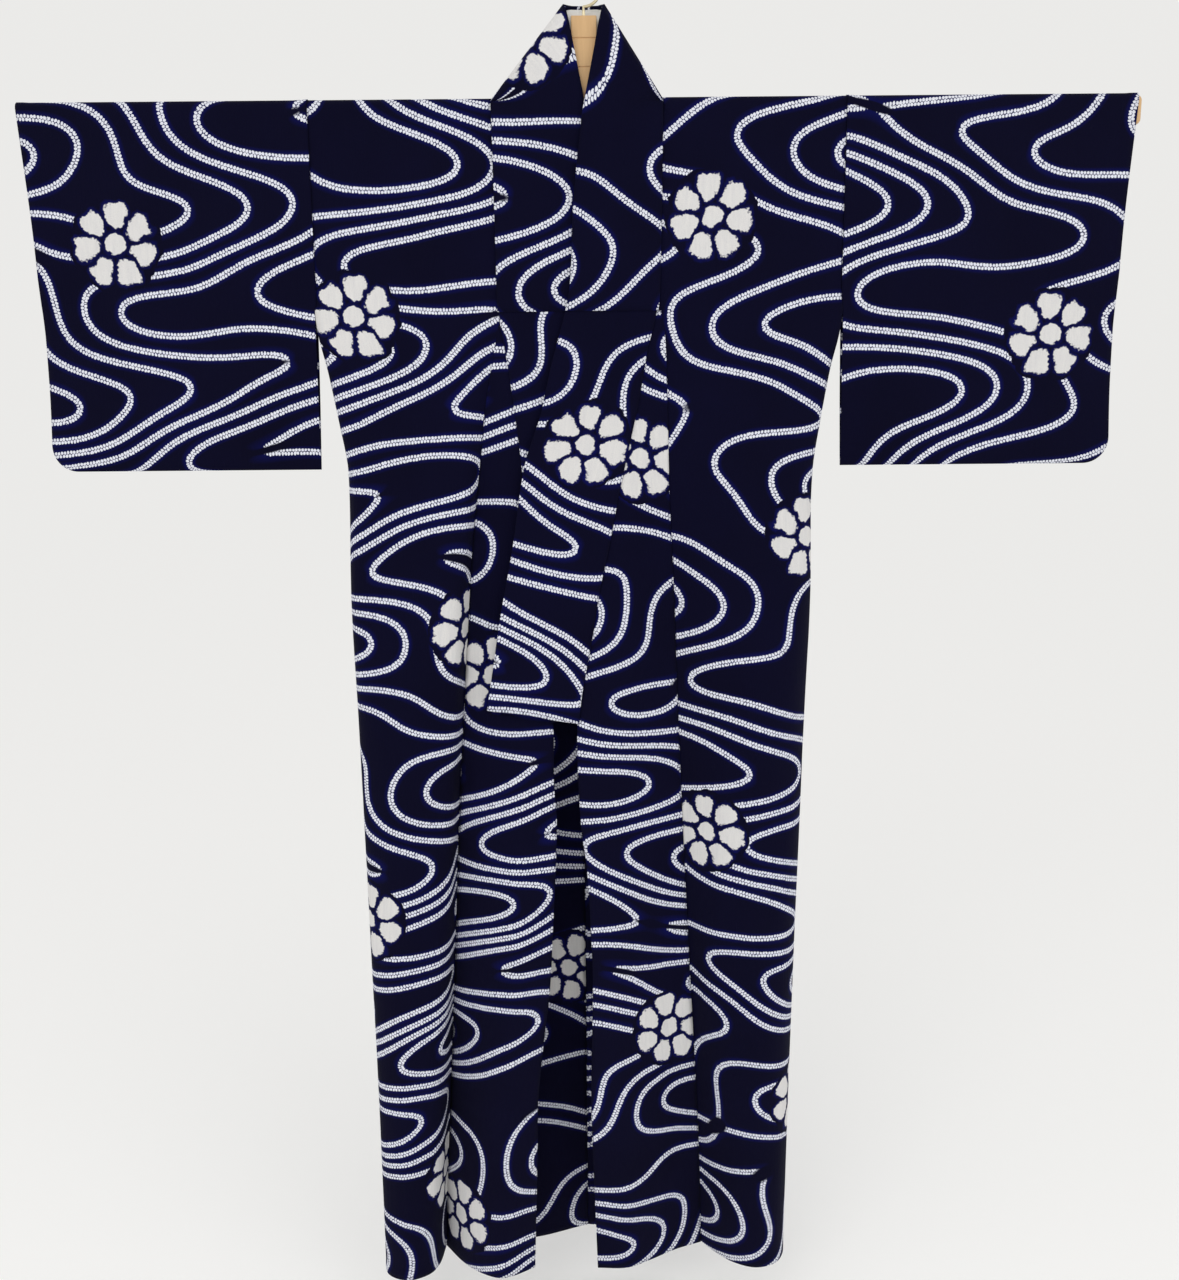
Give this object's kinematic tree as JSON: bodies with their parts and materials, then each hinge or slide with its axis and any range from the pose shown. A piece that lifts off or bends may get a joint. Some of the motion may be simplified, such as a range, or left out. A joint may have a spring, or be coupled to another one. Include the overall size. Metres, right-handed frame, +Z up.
{
  "type": "cotton yukata robe on a wooden kimono hanger",
  "caption": "Unlined cotton yukata with wide square sleeves, crossed collar bands and an open front, hanging flat from a straight wooden hanger with a wire hook.",
  "frame": {"origin": "inner top of the hook, where a rail would carry the hanger", "axes": "+Z up, -Y out of the robe's front, +X to the right of someone looking at the front"},
  "size_m": [1.306, 0.1098, 1.6433],
  "materials": {
    "navy_cotton": "matte plain weave, resist dyed",
    "white_cotton": "matte plain weave",
    "hanger_wood": "satin, pale",
    "hook_metal": "polished wire"
  },
  "bodies": {
    "root": {"body_right_shoulder": "navy_cotton", "body_right_front_upper": "navy_cotton", "body_right_front_middle": "navy_cotton", "body_right_front_lower": "navy_cotton", "body_right_back_upper": "navy_cotton", "body_right_back_middle": "navy_cotton", "body_right_back_lower": "navy_cotton", "body_left_shoulder": "navy_cotton", "body_left_front_upper": "navy_cotton", "body_left_front_middle": "navy_cotton", "body_left_front_lower": "navy_cotton", "body_left_back_upper": "navy_cotton", "body_left_back_middle": "navy_cotton", "body_left_back_lower": "navy_cotton", "sleeve_right": "navy_cotton", "sleeve_left": "navy_cotton", "okumi_right": "navy_cotton", "okumi_left": "navy_cotton", "collar_right": "navy_cotton", "collar_neck": "navy_cotton", "collar_left": "navy_cotton", "collar_cover": "navy_cotton", "neck_lining": "white_cotton", "hanger_bar": "hanger_wood", "hanger_riser": "hanger_wood", "hanger_hook": "hook_metal"}
  },
  "joints": []
}
